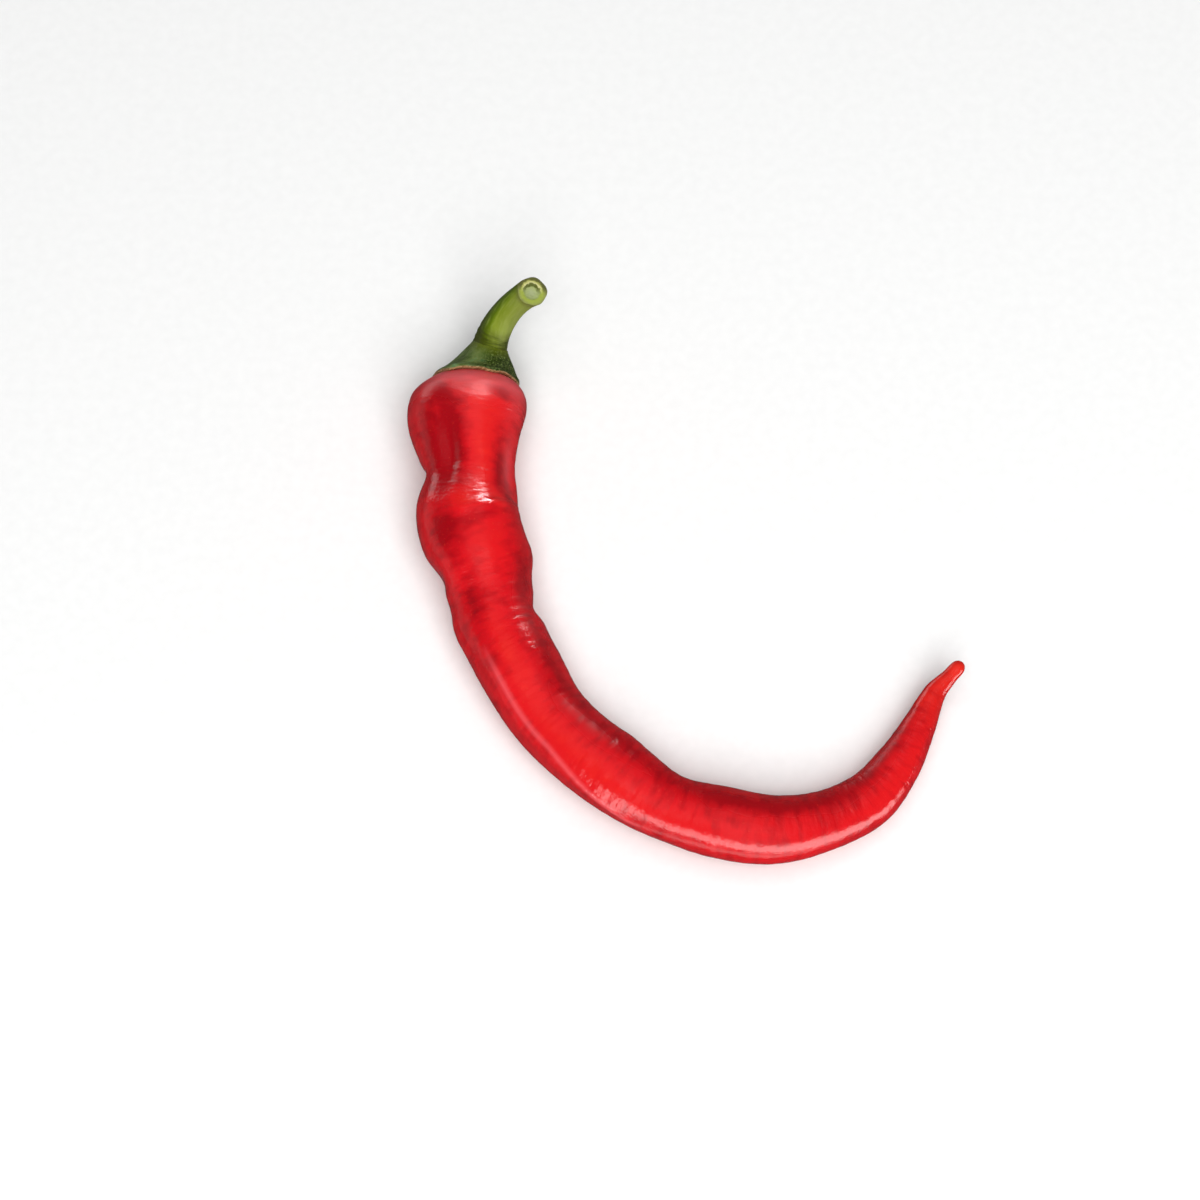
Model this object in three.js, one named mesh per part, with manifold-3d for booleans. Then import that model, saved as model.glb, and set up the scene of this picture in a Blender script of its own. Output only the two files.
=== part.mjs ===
// A ripe red chilli pepper of the long, curved cayenne kind, whole and as picked, lying on its side.
// It has three pieces: the red pod, the green calyx that caps the pod's shoulder, and the stem.
// Lengths are in millimetres. +X is right, +Y points from the tip's bend towards the stem, and +Z is up.
// The pod rests on Z = 0 on three small flat spots, one each under its head, its bend and its tail.

import * as THREE from "three";
import { LoftGeometry } from "three/addons/geometries/LoftGeometry.js";
import { mergeVertices } from "three/addons/utils/BufferGeometryUtils.js";
import Module from "manifold-3d";

// Driving dimensions

// The middle of the chilli's footprint in the coordinates that the lines below are drawn in.
const MIDDLE = [15.5, 1.0];

// The line down the middle of the pod, about 9 mm between points, from the crown to the tip:
// x, y, the height of the underside above the surface (below 0 where it rests), and the radius.
const POD_LINE = [
  [-23.4, 41.0, 0.0, 11.1], // crown, closed by the round shoulder
  [-25.1, 32.6, -0.1, 11.0], // head, resting
  [-24.5, 21.0, 2.0, 8.6], // waist
  [-24.7, 13.2, 0.5, 9.6], // second bulge
  [-22.9, 6.0, 0.4, 9.4],
  [-20.4, -1.8, 0.6, 8.0], // neck below the bulges
  [-18.2, -9.4, 0.4, 7.7],
  [-14.3, -17.1, 0.25, 7.75],
  [-9.6, -25.0, -0.1, 7.3], // bend, resting
  [-3.4, -31.6, 0.3, 7.15],
  [4.2, -37.6, 0.4, 7.05],
  [12.8, -42.8, 0.6, 6.4],
  [22.2, -45.6, 0.4, 6.65],
  [31.4, -46.8, 0.35, 6.3],
  [40.6, -44.9, 0.15, 5.55],
  [48.8, -40.7, -0.1, 5.15], // tail, resting
  [54.3, -34.3, 0.7, 4.3],
  [58.2, -27.4, 2.0, 3.25],
  [61.4, -20.9, 3.9, 2.2],
  [64.0, -18.0, 5.5, 1.6],
  [66.8, -15.2, 6.8, 1.4], // tip
];
const CROWN_FACING = [0.08, 0.99, 0.09]; // the way the crown and the calyx's rim face
const CROWN_DEPTH = 11.8; // length over which the shoulder rounds off
const CROWN_SQUARENESS = 3.2; // 2 is an ellipse, and more is a flatter top with a tighter shoulder
const TIP_DEPTH = 1.6;
const TIP_SQUARENESS = 2;

// The pod's section is slightly three-sided.
const LOBES = 3;
const LOBE_DEPTH = 0.022; // share of the radius
const LOBE_TURN = 35; // degrees

// Bulges (height above 0) and dents (below 0) of the pod's skin. Each has a place along the pod, an angle round it,
// a height, and a reach along and round. Angle 0 is the inner side of the bend, 90 the top and 180 the outer side.
const POD_RELIEF = [
  { at: 4, angle: 0, height: 0.5, along: 3, round: 45 }, // the shoulder is higher on the inner side
  { at: 2.5, angle: 170, height: -0.9, along: 3, round: 45 },
  { at: 5, angle: 95, height: -0.35, along: 3.5, round: 16 },
  { at: 11, angle: 178, height: 0.3, along: 4, round: 30 }, // full outer side of the head
  { at: 17.5, angle: 112, height: -1.15, along: 6.5, round: 13 }, // valley that runs into the waist
  { at: 21.1, angle: 184, height: -1.1, along: 2.6, round: 22 }, // fold between the two bulges
  { at: 18.5, angle: 70, height: 0.55, along: 7.5, round: 17 }, // ridge beside the valley
  { at: 20.5, angle: 26, height: -0.8, along: 5.5, round: 16 }, // hollow behind the ridge
  { at: 23.5, angle: -5, height: 0.6, along: 3, round: 22 },
  { at: 30, angle: 125, height: -0.3, along: 3, round: 22 },
  { at: 29.8, angle: 60, height: 0.45, along: 2.8, round: 17 }, // crest of the second bulge
  { at: 29.3, angle: 100, height: 0.3, along: 2.8, round: 24 },
  { at: 39.5, angle: 0, height: 1.0, along: 3.5, round: 30 }, // knuckle on the inner side
  { at: 38.4, angle: 178, height: -1.4, along: 3, round: 30 }, // step below the second bulge
  { at: 44, angle: 128, height: -0.35, along: 6, round: 18 },
  { at: 49.5, angle: 2, height: -0.8, along: 2.4, round: 26 },
  { at: 49.3, angle: 180, height: 0.5, along: 3, round: 30 },
  { at: 54, angle: 5, height: 0.3, along: 2.6, round: 24 },
  { at: 65, angle: 40, height: -0.3, along: 9, round: 18 },
  { at: 85, angle: 10, height: 0.4, along: 4, round: 30 },
  { at: 98.5, angle: 0, height: -0.45, along: 6.5, round: 30 },
  { at: 100, angle: 190, height: -0.2, along: 4, round: 30 },
  { at: 127, angle: 120, height: 0.2, along: 5, round: 30 },
  { at: 143, angle: 0, height: 0.15, along: 5, round: 24 },
  { at: 149, angle: 60, height: 0.15, along: 4, round: 30 },
];

// A soft rib that runs along the outer side of the bend and turns down towards the surface.
const RIB = { from: 48, to: 104, startAngle: 126, endAngle: 166, height: 0.5, round: 11 };

// The line of the calyx and stem, from the middle of the calyx's rim to the cut end: x, y, z.
const GREEN_LINE = [
  [-23.85, 40.0, 11.0],
  [-21.9, 43.3, 11.2],
  [-21.0, 46.2, 11.9],
  [-20.1, 48.7, 13.5],
  [-18.5, 50.7, 16.1],
  [-16.5, 51.9, 19.2],
  [-14.2, 52.4, 22.4],
  [-12.0, 52.2, 25.6],
];

const CALYX_HEIGHT = 7.4; // from the rim to the collar that the stem stands on
const CALYX_RIM_RADIUS = 7.8; // between the teeth
const CALYX_COLLAR_RADIUS = 3.4;
const CALYX_FLARE = 0.95; // 1 is a straight cone, and more is more like a trumpet
const CALYX_EDGE = 0.8; // thickness at the rim
const CALYX_ROOT = 3; // how deep its solid starts in the crown, before the pod is cut out of it
const CALYX_TEETH = 6;
const TOOTH_LENGTH = 1.0;
const TOOTH_TURN = 0; // degrees
const VEIN_HEIGHT = 0.25;

const STEM_RADII = [3.4, 3.05, 2.8, 2.65, 2.65, 2.85]; // evenly spaced from the collar to the cut
const STEM_RIDGES = 5;
const STEM_RIDGE_DEPTH = 0.03; // share of the radius
const CUT_NORMAL = [0.3, -0.12, 0.95]; // the way the cut end faces
const CUT_FROM_END = 1.2; // how far before the line's last point the cut passes
const PITH_RADIUS = 1.3;
const PITH_DEPTH = 0.5;

const GAP = 0.3; // kept between pieces that touch

// How finely the skins are divided.
const POD_SIDES = 40;
const POD_STEP = 1.65;
const CROWN_RINGS = 9;
const TIP_RINGS = 4;
const GREEN_SIDES = 48;
const GREEN_STEP = 0.75;

const UP = new THREE.Vector3(0, 0, 1);
const radians = THREE.MathUtils.degToRad;
const wasm = await Module();
wasm.setup();

// Solids

// A closed geometry as a solid that can be cut.
function asSolid(geometry) {
  const bare = new THREE.BufferGeometry();
  bare.setAttribute("position", geometry.getAttribute("position"));
  bare.setIndex(geometry.getIndex());
  const merged = mergeVertices(bare, 1e-4);
  return new wasm.Manifold(
    new wasm.Mesh({
      numProp: 3,
      vertProperties: merged.attributes.position.array,
      triVerts: new Uint32Array(merged.index.array),
    }),
  );
}

// A solid back as a geometry, with its flat shading.
function asGeometry(solid) {
  const { vertProperties, triVerts } = solid.getMesh();
  const indexed = new THREE.BufferGeometry();
  indexed.setAttribute("position", new THREE.BufferAttribute(vertProperties, 3));
  indexed.setIndex(new THREE.BufferAttribute(triVerts, 1));
  const geometry = indexed.toNonIndexed();
  geometry.computeVertexNormals();
  return geometry;
}

// A block that fills the space beyond a plane, on the side that its normal points to.
function blockBeyond(point, normal, size) {
  const block = new THREE.BoxGeometry(size, size, size);
  block.translate(0, 0, size / 2);
  block.applyQuaternion(new THREE.Quaternion().setFromUnitVectors(UP, normal));
  block.translate(...point.toArray());
  return asSolid(block);
}

// Lines and sections

// Where a section of a line stands: its middle, the way along, and the two ways across.
// It faces along the line unless another way is given.
function stationOn(curve, share, facing) {
  const t = curve.getUtoTmapping(THREE.MathUtils.clamp(share, 0, 1));
  const along = facing ? facing.clone().normalize() : curve.getTangent(t);
  const up = UP.clone().addScaledVector(along, -UP.dot(along)).normalize();
  const inward = new THREE.Vector3().crossVectors(up, along);
  return { t, middle: curve.getPoint(t), along, inward, up };
}

// A point of a section, at an angle round its middle.
function around(station, angle, radius, shift = 0) {
  return station.middle
    .clone()
    .addScaledVector(station.inward, radius * Math.cos(angle))
    .addScaledVector(station.up, radius * Math.sin(angle))
    .addScaledVector(station.along, shift);
}

// One closed ring of points, with its angle given to a function that places each.
function ring(sides, place) {
  return Array.from({ length: sides }, (_, i) => place((i / sides) * 2 * Math.PI));
}

// How far a rounded end has opened at some distance from its pole: 0 at the pole, 1 past its depth.
function opening(distance, depth, squareness) {
  if (distance >= depth) return 1;
  return (1 - (1 - distance / depth) ** squareness) ** (1 / squareness);
}

// The smallest turn from one angle to another, in degrees.
function turnBetween(a, b) {
  return THREE.MathUtils.euclideanModulo(a - b + 180, 360) - 180;
}

function bell(distance, reach) {
  return Math.exp(-((distance / reach) ** 2));
}

// Pod

const podSpine = new THREE.CatmullRomCurve3(
  POD_LINE.map(([x, y, under, radius]) => new THREE.Vector3(x - MIDDLE[0], y - MIDDLE[1], under + radius)),
  false,
  "catmullrom",
);
const podGirth = new THREE.SplineCurve(POD_LINE.map(([, , , radius], i) => new THREE.Vector2(i, radius)));
const podLength = podSpine.getLength();
const crownFacing = new THREE.Vector3(...CROWN_FACING).normalize();

function ribHeight(s, degrees) {
  const share = THREE.MathUtils.clamp((s - RIB.from) / (RIB.to - RIB.from), 0, 1);
  const angle = THREE.MathUtils.lerp(RIB.startAngle, RIB.endAngle, share);
  return RIB.height * Math.sin(Math.PI * share) * bell(turnBetween(degrees, angle), RIB.round);
}

// How much the skin stands out from its round section.
function podRelief(s, angle) {
  const degrees = THREE.MathUtils.radToDeg(angle);
  let height = ribHeight(s, degrees);
  for (const spot of POD_RELIEF) {
    height += spot.height * bell(s - spot.at, spot.along) * bell(turnBetween(degrees, spot.angle), spot.round);
  }
  return height;
}

// Rings are close together at the crown and tip, where the pod rounds off.
function podRingPlaces() {
  const places = [];
  for (let i = 1; i <= CROWN_RINGS; i++) {
    places.push(CROWN_DEPTH * (1 - Math.cos((i / CROWN_RINGS) * (Math.PI / 2))));
  }
  const bodyRings = Math.round((podLength - CROWN_DEPTH - TIP_DEPTH) / POD_STEP);
  for (let i = 1; i < bodyRings; i++) {
    places.push(CROWN_DEPTH + (i / bodyRings) * (podLength - CROWN_DEPTH - TIP_DEPTH));
  }
  for (let i = TIP_RINGS; i >= 1; i--) {
    places.push(podLength - TIP_DEPTH * (1 - Math.cos((i / TIP_RINGS) * (Math.PI / 2))));
  }
  return places;
}

// The crown's rings face squarely out of the crown, and turn to face along the pod further on.
function podStation(s) {
  const straight = stationOn(podSpine, s / podLength);
  const turned = THREE.MathUtils.smoothstep(s, 0, CROWN_DEPTH);
  return stationOn(podSpine, s / podLength, crownFacing.clone().negate().lerp(straight.along, turned));
}

// The pod's skin, larger all round by the amount grown.
function podGeometry(grown) {
  const sections = podRingPlaces().map((s) => {
    const station = podStation(s);
    const girth = podGirth.getPoint(station.t).y;
    const crown = opening(s, CROWN_DEPTH, CROWN_SQUARENESS);
    const open = crown * opening(podLength - s, TIP_DEPTH, TIP_SQUARENESS);
    return ring(POD_SIDES, (angle) => {
      const lobe = 1 + LOBE_DEPTH * Math.cos(LOBES * (angle - radians(LOBE_TURN)));
      const radius = open * (girth * lobe + podRelief(s, angle)) + grown;
      return around(station, angle, radius, -grown * (1 - crown));
    });
  });
  return new LoftGeometry(sections, { capStart: true, capEnd: true });
}

const belowTheSurface = blockBeyond(new THREE.Vector3(0, 0, 0), new THREE.Vector3(0, 0, -1), 400);
const pod = asSolid(podGeometry(0)).subtract(belowTheSurface);

// Calyx and stem

const greenLine = new THREE.CatmullRomCurve3(
  GREEN_LINE.map(([x, y, z]) => new THREE.Vector3(x - MIDDLE[0], y - MIDDLE[1], z)),
  false,
  "catmullrom",
);
const greenLength = greenLine.getLength();
const collarFacing = stationOn(greenLine, CALYX_HEIGHT / greenLength).along;

// How far below its top the crown's surface lies at a radius.
function crownDrop(radius) {
  const share = Math.min(radius / POD_LINE[0][3], 1);
  return CROWN_DEPTH * (1 - (1 - share ** CROWN_SQUARENESS) ** (1 / CROWN_SQUARENESS));
}

// A narrow peak on each tooth, from 0 between two teeth to 1 at a point.
function tooth(angle) {
  const wave = (1 + Math.cos(CALYX_TEETH * (angle - radians(TOOTH_TURN)))) / 2;
  return wave ** 2;
}

// A ring of the calyx: rise above the rim, the radius between the teeth, and how much the teeth and veins show.
function calyxRing(rise, radius, teeth, veins) {
  const facing = crownFacing.clone().lerp(collarFacing, Math.max(rise, 0) / CALYX_HEIGHT);
  const station = stationOn(greenLine, Math.max(rise, 0) / greenLength, facing);
  return ring(GREEN_SIDES, (angle) => {
    const reach = radius + teeth * TOOTH_LENGTH * tooth(angle);
    const drape = crownDrop(reach) - crownDrop(CALYX_RIM_RADIUS);
    return around(station, angle, reach + veins * VEIN_HEIGHT * tooth(angle), Math.min(rise, 0) - teeth * drape);
  });
}

function calyxGeometry() {
  const sections = [calyxRing(-CALYX_ROOT, CALYX_RIM_RADIUS - 1.5, 0, 0)];
  sections.push(calyxRing(-CALYX_ROOT / 2, CALYX_RIM_RADIUS - 0.5, 1, 0));
  sections.push(calyxRing(CALYX_EDGE * 0.3, CALYX_RIM_RADIUS, 1, 0));
  sections.push(calyxRing(CALYX_EDGE, CALYX_RIM_RADIUS - 0.3, 1, 0.5));
  const rings = Math.round((CALYX_HEIGHT - CALYX_EDGE) / GREEN_STEP);
  for (let i = 1; i <= rings; i++) {
    const share = i / rings;
    const rise = THREE.MathUtils.lerp(CALYX_EDGE, CALYX_HEIGHT, share);
    const spread = (1 - share) ** CALYX_FLARE;
    const radius = THREE.MathUtils.lerp(CALYX_COLLAR_RADIUS, CALYX_RIM_RADIUS - 0.3, spread);
    sections.push(calyxRing(rise, radius, (1 - share) ** 3, 1 - 0.5 * share));
  }
  return new LoftGeometry(sections, { capStart: true, capEnd: true });
}

const calyx = asSolid(calyxGeometry()).subtract(asSolid(podGeometry(GAP)));

function stemGeometry() {
  const start = CALYX_HEIGHT + GAP;
  const radii = new THREE.SplineCurve(STEM_RADII.map((radius, i) => new THREE.Vector2(i, radius)));
  const rings = Math.round((greenLength - start) / GREEN_STEP);
  const sections = Array.from({ length: rings + 1 }, (_, i) => {
    const station = stationOn(greenLine, (start + (i / rings) * (greenLength - start)) / greenLength);
    const radius = radii.getPoint(i / rings).y;
    return ring(GREEN_SIDES, (angle) =>
      around(station, angle, radius * (1 + STEM_RIDGE_DEPTH * Math.cos(STEM_RIDGES * angle))),
    );
  });
  return new LoftGeometry(sections, { capStart: true, capEnd: true });
}

// The stem is cut off aslant, and the pith in the middle of the cut has sunk.
const cutNormal = new THREE.Vector3(...CUT_NORMAL).normalize();
const cutMiddle = stationOn(greenLine, 1 - CUT_FROM_END / greenLength).middle;
const pith = new THREE.CylinderGeometry(PITH_RADIUS, PITH_RADIUS * 0.8, 2 * PITH_DEPTH, 20)
  .rotateX(Math.PI / 2)
  .applyQuaternion(new THREE.Quaternion().setFromUnitVectors(UP, cutNormal))
  .translate(...cutMiddle.toArray());
const stem = asSolid(stemGeometry())
  .subtract(blockBeyond(cutMiddle, cutNormal, 12))
  .subtract(asSolid(pith));

// Assembly

function piece(name, solid, color, roughness) {
  const material = new THREE.MeshStandardMaterial({ color, roughness, metalness: 0 });
  const mesh = new THREE.Mesh(asGeometry(solid), material);
  mesh.name = name;
  return mesh;
}

const chilli = new THREE.Group();
chilli.add(
  piece("pod", pod, "#c8101c", 0.22),
  piece("calyx", calyx, "#3f5a22", 0.5),
  piece("stem", stem, "#6e8428", 0.55),
);

export default chilli;
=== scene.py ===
# A ripe red chilli pepper of the long, curved cayenne kind, whole and as picked, lying on its side.
# It has a glossy red pod, a leathery green calyx over the pod's shoulder, and a ridged green stem
# that is cut off aslant. It rests on z = 0, +X is right, and +Y points from the bend to the stem.

import math

import bpy
import numpy as np
from mathutils import Matrix, Vector, noise
from mathutils.bvhtree import BVHTree


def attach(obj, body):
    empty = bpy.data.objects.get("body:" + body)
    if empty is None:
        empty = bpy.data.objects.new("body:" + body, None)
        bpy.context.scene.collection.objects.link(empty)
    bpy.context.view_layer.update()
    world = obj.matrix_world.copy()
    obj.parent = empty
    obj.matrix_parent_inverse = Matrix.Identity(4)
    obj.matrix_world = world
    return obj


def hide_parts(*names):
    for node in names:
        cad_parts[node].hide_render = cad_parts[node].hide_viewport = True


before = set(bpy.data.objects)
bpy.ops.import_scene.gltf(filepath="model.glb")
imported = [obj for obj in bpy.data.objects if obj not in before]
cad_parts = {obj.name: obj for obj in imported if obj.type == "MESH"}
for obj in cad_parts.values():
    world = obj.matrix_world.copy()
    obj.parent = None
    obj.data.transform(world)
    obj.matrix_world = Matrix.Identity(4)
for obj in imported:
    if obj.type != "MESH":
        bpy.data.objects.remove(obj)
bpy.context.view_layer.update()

MM = 0.001

# The line of the pod from crown to tip, in millimetres: x, y, clearance of the underside, radius.
POD_LINE = [
    (-38.9, 40.0, 0.0, 11.1), (-40.6, 31.6, -0.1, 11.0), (-40.0, 20.0, 2.0, 8.6),
    (-40.2, 12.2, 0.5, 9.6), (-38.4, 5.0, 0.4, 9.4), (-35.9, -2.8, 0.6, 8.0),
    (-33.7, -10.4, 0.4, 7.7), (-29.8, -18.1, 0.25, 7.75), (-25.1, -26.0, -0.1, 7.3),
    (-18.9, -32.6, 0.3, 7.15), (-11.3, -38.6, 0.4, 7.05), (-2.7, -43.8, 0.6, 6.4),
    (6.7, -46.6, 0.4, 6.65), (15.9, -47.8, 0.35, 6.3), (25.1, -45.9, 0.15, 5.55),
    (33.3, -41.7, -0.1, 5.15), (38.8, -35.3, 0.7, 4.3), (42.7, -28.4, 2.0, 3.25),
    (45.9, -21.9, 3.9, 2.2), (48.5, -19.0, 5.5, 1.6), (51.3, -16.2, 6.8, 1.4),
]
CROWN_FACING = Vector((0.08, 0.99, 0.09)).normalized()
CROWN_DEPTH, CROWN_SQUARENESS = 11.8, 3.2
TIP_DEPTH, TIP_SQUARENESS = 1.6, 2.0
LOBES, LOBE_DEPTH, LOBE_TURN = 3, 0.022, 35

# Bulges and dents of the skin, in millimetres and degrees: place along, angle round, height, reach
# along and reach round. Angle 0 is the inner side of the bend, 90 the top and 180 the outer side.
SKIN_FORMS = [
    (4, 0, 0.5, 3, 45), (2.5, 170, -0.9, 3, 45), (5, 95, -0.35, 3.5, 16), (11, 178, 0.3, 4, 30),
    (17.5, 112, -1.15, 6.5, 13), (21.1, 184, -1.1, 2.6, 22), (18.5, 70, 0.55, 7.5, 17),
    (20.5, 26, -0.8, 5.5, 16), (23.5, -5, 0.6, 3, 22), (30, 125, -0.3, 3, 22),
    (29.8, 60, 0.45, 2.8, 17), (29.3, 100, 0.3, 2.8, 24),
    (39.5, 0, 1.0, 3.5, 30), (38.4, 178, -1.4, 3, 30), (44, 128, -0.35, 6, 18),
    (49.5, 2, -0.8, 2.4, 26), (49.3, 180, 0.5, 3, 30), (54, 5, 0.3, 2.6, 24),
    (65, 40, -0.3, 9, 18), (85, 10, 0.4, 4, 30), (98.5, 0, -0.45, 6.5, 30),
    (100, 190, -0.2, 4, 30), (127, 120, 0.2, 5, 30), (143, 0, 0.15, 5, 24),
    (149, 60, 0.15, 4, 30),
]
# Small folds that are too fine for the solid: on the second bulge, under it and on the shoulder.
SMALL_FORMS = [(29.9, 72, 0.26, 1.5, 34), (32, 100, -0.12, 0.9, 24), (6.2, 48, -0.2, 0.9, 22)]
# Ripples of the skin, finer still: height, grain round, up and along, and seed.
RIPPLES = [(0.055, (5.0, 5.0, 1.3), 1), (0.05, (3.5, 3.5, 9.0), 2), (0.02, (1.6, 1.6, 1.6), 3)]
# The rib down the outer side: where it starts and ends, the angle there, its height and width.
RIB_FROM, RIB_TO, RIB_START_ANGLE, RIB_END_ANGLE = 48, 104, 126, 166
RIB_HEIGHT, RIB_ROUND = 0.5, 11
# The thin crest on the rib: places along the pod, the angle at each, its height and width, and
# the length over which its ends fade.
CREST_PLACES = (54, 62, 69, 76, 84, 92, 98)
CREST_ANGLES = (127, 129, 131, 134, 147, 159, 164)
CREST_HEIGHT, CREST_WIDTH, CREST_FADE = 0.14, 0.45, 6

# Painted shade and light on the skin, partly its own uneven red: below 0 the red is darkened, as
# painted shade in the valleys and on the sides turned from the light; above 0 it is lightened
# towards orange, as painted light on the crests, round the highlight and on slopes that face the
# front.
# Columns: place along, angle round, strength, reach along and reach round.
SKIN_TONES_AND_PAINTED_LIGHT = [
    (13.5, 110, -1.1, 5, 15), (22, 121, -1.1, 5, 17), (7, 118, -0.7, 2.2, 13),
    (15, 138, -0.8, 7, 12), (5.6, 48, -0.8, 1.2, 22), (33, 127, -1.0, 3.4, 18),
    (32, 92, -0.7, 1.1, 28), (46, 122, -0.6, 3, 12), (51, 145, -0.5, 6, 12),
    (22, 48, -0.8, 4, 6), (29, 34, -0.5, 7, 9), (42, 36, -0.6, 5, 12), (58, 48, -0.6, 14, 12),
    (88, 56, -0.7, 22, 16), (118, 66, -0.9, 16, 17), (140, 52, -0.7, 10, 16), (9.5, 66, 0.6, 5, 24),
    (19, 72, 0.8, 7, 12), (27.5, 92, 0.9, 2.2, 24), (28, 52, 0.8, 3, 9), (37, 78, 0.4, 5, 22),
    (58, 98, 0.6, 9, 13), (72, 108, 0.6, 12, 16), (86, 122, 0.6, 10, 18), (102, 118, 0.2, 8, 18),
    (142, 118, 0.2, 12, 20), (166, 105, 0.2, 4, 60),
]
# Where the skin is duller: round the calyx, in the waist, and where the inner side of the bend
# is creased.
DULL_PLACES = [
    (1, 90, 0.8, 6, 400), (7, 78, 0.45, 2.4, 22), (23.4, 84, 0.6, 2.3, 14), (52, 48, 0.7, 8, 17),
    (80, 72, 0.5, 12, 14), (118, 70, 0.4, 18, 26), (144, 60, 0.5, 12, 26),
]
# Where a pale pink sheen is painted on the skin: round the calyx and in the waist.
PAINTED_SHEEN_PLACES = [
    (2.6, 118, 1.2, 2.4, 50), (3, 40, 1.0, 2.4, 36), (8, 30, 0.3, 4, 16), (20, 27, 0.65, 4.5, 12),
]

# The line of the calyx and stem, from the middle of the calyx's rim to the cut end.
GREEN_LINE = [
    (-39.35, 39.0, 11.0), (-37.4, 42.3, 11.2), (-36.5, 45.2, 11.9), (-35.6, 47.7, 13.5),
    (-34.0, 49.7, 16.1), (-32.0, 50.9, 19.2), (-29.7, 51.4, 22.4), (-27.5, 51.2, 25.6),
]
CALYX_HEIGHT, CALYX_RIM_RADIUS, CALYX_COLLAR_RADIUS, CALYX_FLARE = 7.4, 7.8, 3.4, 0.95
# The calyx's lower rings, from the middle of its underside round its rim: rise above the rim,
# radius, share of the teeth, share of the veins, share that lies on the pod, and how far it then
# stands off the pod's skin.
RIM_RINGS = [
    (0.0, 3.0, 0.0, 0.0, 1.0, 0.05), (0.0, 5.0, 0.0, 0.0, 1.0, 0.05),
    (0.0, 6.6, 0.5, 0.0, 1.0, 0.10), (0.0, 7.4, 0.9, 0.0, 1.0, 0.18),
    (0.0, 7.70, 1.0, 0.0, 1.0, 0.26), (0.1, 7.82, 1.0, 0.0, 1.0, 0.42),
    (0.3, 7.80, 1.0, 0.1, 1.0, 0.60), (0.5, 7.66, 1.0, 0.3, 1.0, 0.74),
    (0.7, 7.42, 1.0, 0.5, 0.9, 0.88),
]
CAP_RINGS, CAP_FROM, CAP_INSET, CAP_LIFT = 16, 0.8, 0.4, 1.2
COLLAR_OVERLAP = 0.25  # how far the collar runs up round the stem
# The rings that close the collar: rise above its top, and radius.
COLLAR_CLOSING = [(0.1, 3.2), (0.12, 2.4), (0.12, 1.2)]
CALYX_TEETH, TOOTH_LENGTH, VEIN_HEIGHT = 6, 1.0, 0.25
# The rim's raggedness and curl: height, grain and seed, noted on a ring of RIM_GRAIN_RADIUS.
RIM_GRAIN_RADIUS = 7.5
RAGGED_HEIGHT, RAGGED_GRAIN, RAGGED_SEED = 0.25, (2.2, 2.2, 1), 5
CURL_HEIGHT, CURL_GRAIN, CURL_SEED, CURL_LEAST = 0.3, (3.0, 3.0, 1), 6, -0.3
# The dried edge is the part of the rim that stands about this far off the pod.
EDGE_LIFT, EDGE_REACH = 0.42, 0.22

STEM_RADII = [3.4, 3.05, 2.8, 2.65, 2.65, 2.85]
STEM_OVERLAP = 0.15  # how far the stem's foot reaches down into the collar
STEM_RIDGES, STEM_RIDGE_DEPTH = 5, 0.03
FIBRE_HEIGHT, FIBRE_GRAIN, FIBRE_SEED = 0.02, (0.9, 0.9, 8.0), 8
# The wrinkles round the stem's foot: their places, reach and depth, and the turn to their side.
WRINKLE_PLACES, WRINKLE_REACH, WRINKLE_DEPTH, WRINKLE_TURN = (8.4, 9.3, 10.3), 0.22, 0.12, 2.4
CUT_NORMAL = Vector((0.3, -0.12, 0.95)).normalized()
CUT_FROM_END, CUT_RADIUS, CUT_MERGE = 1.2, 3.0, 0.08
# How square a face of the cut is to it, and how near its plane: the flat cut, and all of it once
# its pith is sunk.
FLAT_CUT, SUNKEN_CUT = (0.999, 0.05), (0.5, 0.8)
# Steps from the edge of the cut to its middle: size against the step before, and rise.
CUT_RINGS = [(0.93, 0.0), (0.93, -0.05), (0.85, 0.05), (0.85, -0.05), (0.85, -0.15), (0.8, -0.3)]

SKIN_INSET = 0.05  # keeps the rounded skin inside the faceted solid's box
REST_CLEARANCE = 0.01
POLE_RADIUS = 0.02  # the least radius of a ring, at the pod's two poles
LINE_STEPS = 2000
GRAIN_SHIFT = (17.3, 5.1, 9.7)  # moves each seed's noise to a place of its own


# Lines and sections

def run_through(points, shares, run_on=True):
    """Points of the smooth line through the given ones, at shares 0 to 1 of their count."""
    points = np.asarray(points, float).reshape(len(points), -1)
    first, last = points[0], points[-1]
    if run_on:
        first, last = 2 * points[0] - points[1], 2 * points[-1] - points[-2]
    padded = np.vstack([first, points, last])
    place = np.clip(np.asarray(shares, float), 0, 1) * (len(points) - 1)
    i = np.minimum(place.astype(int), len(points) - 2)
    u = (place - i)[:, None]
    a, b, c, d = (padded[i + k] for k in range(4))
    slope_b, slope_c = (c - a) / 2, (d - b) / 2
    cubic = 2 * b - 2 * c + slope_b + slope_c
    square = 3 * c - 3 * b - 2 * slope_b - slope_c
    return ((cubic * u + square) * u + slope_b) * u + b


def measured(points):
    """The shares along a line at which its length is known, and those lengths."""
    shares = np.linspace(0, 1, LINE_STEPS + 1)
    steps = np.linalg.norm(np.diff(run_through(points, shares), axis=0), axis=1)
    return shares, np.concatenate([[0], np.cumsum(steps)])


def unit(v):
    """Each row as a vector of length 1."""
    return v / np.linalg.norm(v, axis=1, keepdims=True)


def sections(points, lengths, places, facing=None):
    """The middle, the ways along, inward and up of the section at each place, and its share."""
    share = np.interp(places, lengths[1], lengths[0])
    middle = run_through(points, share)
    step = 1e-4
    along = unit(run_through(points, share + step) - run_through(points, share - step))
    if facing is not None:
        along = unit(facing(along))
    up = unit(np.array([0, 0, 1.0]) - along * along[:, 2:3])
    return middle, along, np.cross(up, along), up, share


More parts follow.
